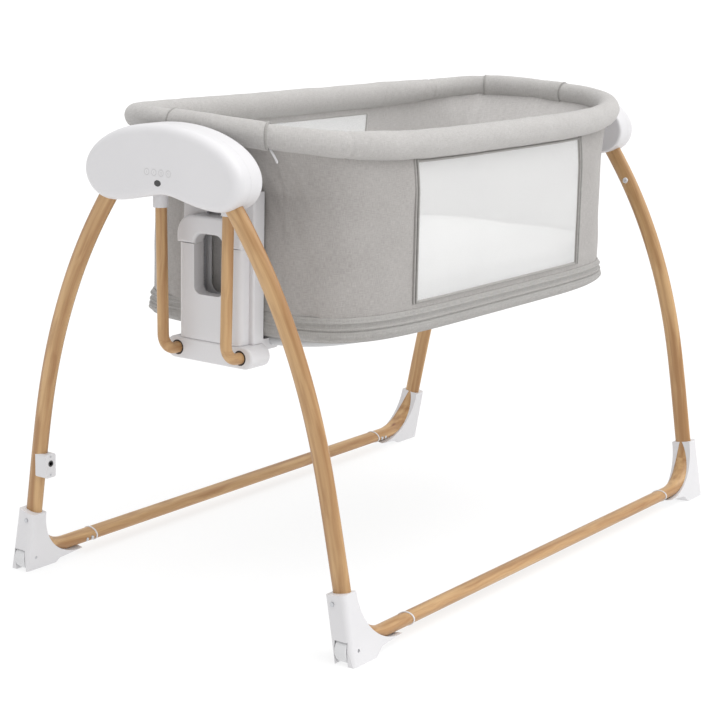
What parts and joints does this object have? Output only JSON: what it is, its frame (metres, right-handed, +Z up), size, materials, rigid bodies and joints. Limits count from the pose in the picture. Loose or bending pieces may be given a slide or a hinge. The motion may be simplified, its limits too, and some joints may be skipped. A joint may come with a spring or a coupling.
{
  "type": "baby swing",
  "caption": "Swinging baby cradle: fabric bassinet with mesh windows, hung between two arched leg frames on floor rails, with a powered end housing.",
  "frame": {"origin": "on the floor, midway between the four feet", "axes": "+X along the bassinet's length, away from the motor end; +Y across it, the way it swings; +Z up"},
  "size_m": [1.264, 0.749, 0.826],
  "materials": {
    "oak_print": "satin wood-grain print on steel tube",
    "white_plastic": "fine moulded satin",
    "wheel_plastic": "smooth moulded",
    "pad_silicone": "matt",
    "steel": "zinc plated",
    "black_plastic": "gloss",
    "grommet_rubber": "matt",
    "circuit_board": "solder mask",
    "copper_wire": "enamelled winding",
    "grey_tube": "powder coat",
    "rim_fabric": "melange linen weave over foam",
    "wall_fabric": "melange linen weave",
    "window_mesh": "fine warp-knit mesh",
    "board": "raw fibreboard",
    "mattress_cover": "quilted knit"
  },
  "bodies": {
    "stand": {"leg_tube_motor_back": "oak_print", "leg_tube_motor_front": "oak_print", "leg_tube_far_back": "oak_print", "leg_tube_far_front": "oak_print", "rail_tube_back": "oak_print", "rail_tube_front": "oak_print", "foot_cover_motor_back": "white_plastic", "foot_cover_motor_front": "white_plastic", "foot_cover_far_back": "white_plastic", "foot_cover_far_front": "white_plastic", "housing_motor_outer_shell": "white_plastic", "housing_motor_inner_shell": "white_plastic", "housing_far_outer_shell": "white_plastic", "housing_far_inner_shell": "white_plastic", "rail_collars": "white_plastic", "stand_screws": "steel", "wheel_axles": "steel", "housing_screws": "black_plastic", "bolt_caps": "white_plastic", "pivot_shafts": "steel", "control_board": "circuit_board", "drive_coils": "copper_wire", "receiver_window": "black_plastic", "power_socket_box": "white_plastic", "power_inlet": "black_plastic", "socket_screws": "steel"},
    "swing": {"yoke_motor": "white_plastic", "yoke_far": "white_plastic", "crossbar_motor": "white_plastic", "crossbar_far": "white_plastic", "swing_rods_motor": "oak_print", "swing_rods_far": "oak_print", "pivot_bearings": "steel", "rod_grommets": "grommet_rubber", "guide_posts": "steel", "swing_magnets": "steel"},
    "bassinet": {"end_bracket_motor": "white_plastic", "end_bracket_far": "white_plastic", "column_panel_motor": "white_plastic", "column_panel_far": "white_plastic", "rim_tube": "grey_tube", "rim_padding": "rim_fabric", "fabric_walls": "wall_fabric", "mesh_windows": "window_mesh", "base_tube": "grey_tube", "tube_clamps": "white_plastic", "base_board": "board", "mattress": "mattress_cover"},
    "release_motor": {"release_handle_motor": "white_plastic"},
    "release_far": {"release_handle_far": "white_plastic"},
    "wheel_back": {"wheel_back": "wheel_plastic"},
    "wheel_front": {"wheel_front": "wheel_plastic"},
    "pad_1": {"control_pad_1": "pad_silicone"},
    "pad_2": {"control_pad_2": "pad_silicone"},
    "pad_3": {"control_pad_3": "pad_silicone"},
    "pad_4": {"control_pad_4": "pad_silicone"},
    "snap_motor_back": {"snap_button_motor_back": "steel"},
    "snap_motor_front": {"snap_button_motor_front": "steel"},
    "snap_far_back": {"snap_button_far_back": "steel"},
    "snap_far_front": {"snap_button_far_front": "steel"}
  },
  "joints": [
    {"name": "swing_hinge", "type": "hinge", "parent": "stand", "child": "swing", "pos_m": [0, 0, 0.735], "axis": [1, 0, 0], "range_deg": [-10, 10]},
    {"name": "height_slide", "type": "slide", "parent": "swing", "child": "bassinet", "axis": [0, 0, 1], "range_m": [0, 0.1]},
    {"name": "release_motor_slide", "type": "slide", "parent": "bassinet", "child": "release_motor", "axis": [0, 0, 1], "range_m": [0, 0.01], "stiffness_N_per_m": 250, "springref_m": -0.01},
    {"name": "release_far_slide", "type": "slide", "parent": "bassinet", "child": "release_far", "axis": [0, 0, 1], "range_m": [0, 0.01], "stiffness_N_per_m": 250, "springref_m": -0.01},
    {"name": "wheel_back_spin", "type": "hinge", "parent": "stand", "child": "wheel_back", "pos_m": [-0.5855, 0.35, 0.0233], "axis": [0, 1, 0], "continuous": true},
    {"name": "wheel_front_spin", "type": "hinge", "parent": "stand", "child": "wheel_front", "pos_m": [-0.5855, -0.35, 0.0233], "axis": [0, 1, 0], "continuous": true},
    {"name": "pad_1_press", "type": "slide", "parent": "stand", "child": "pad_1", "axis": [1, 0, 0], "range_m": [0, 0.0006], "stiffness_N_per_m": 900, "springref_m": -0.0002},
    {"name": "pad_2_press", "type": "slide", "parent": "stand", "child": "pad_2", "axis": [1, 0, 0], "range_m": [0, 0.0006], "stiffness_N_per_m": 900, "springref_m": -0.0002},
    {"name": "pad_3_press", "type": "slide", "parent": "stand", "child": "pad_3", "axis": [1, 0, 0], "range_m": [0, 0.0006], "stiffness_N_per_m": 900, "springref_m": -0.0002},
    {"name": "pad_4_press", "type": "slide", "parent": "stand", "child": "pad_4", "axis": [1, 0, 0], "range_m": [0, 0.0006], "stiffness_N_per_m": 900, "springref_m": -0.0002},
    {"name": "snap_motor_back_press", "type": "slide", "parent": "stand", "child": "snap_motor_back", "axis": [0, 0.9842, 0.1772], "range_m": [0, 0.003], "stiffness_N_per_m": 700, "springref_m": -0.001},
    {"name": "snap_motor_front_press", "type": "slide", "parent": "stand", "child": "snap_motor_front", "axis": [0, -0.9842, 0.1772], "range_m": [0, 0.003], "stiffness_N_per_m": 700, "springref_m": -0.001},
    {"name": "snap_far_back_press", "type": "slide", "parent": "stand", "child": "snap_far_back", "axis": [0, 0.9842, 0.1772], "range_m": [0, 0.003], "stiffness_N_per_m": 700, "springref_m": -0.001},
    {"name": "snap_far_front_press", "type": "slide", "parent": "stand", "child": "snap_far_front", "axis": [0, -0.9842, 0.1772], "range_m": [0, 0.003], "stiffness_N_per_m": 700, "springref_m": -0.001}
  ]
}
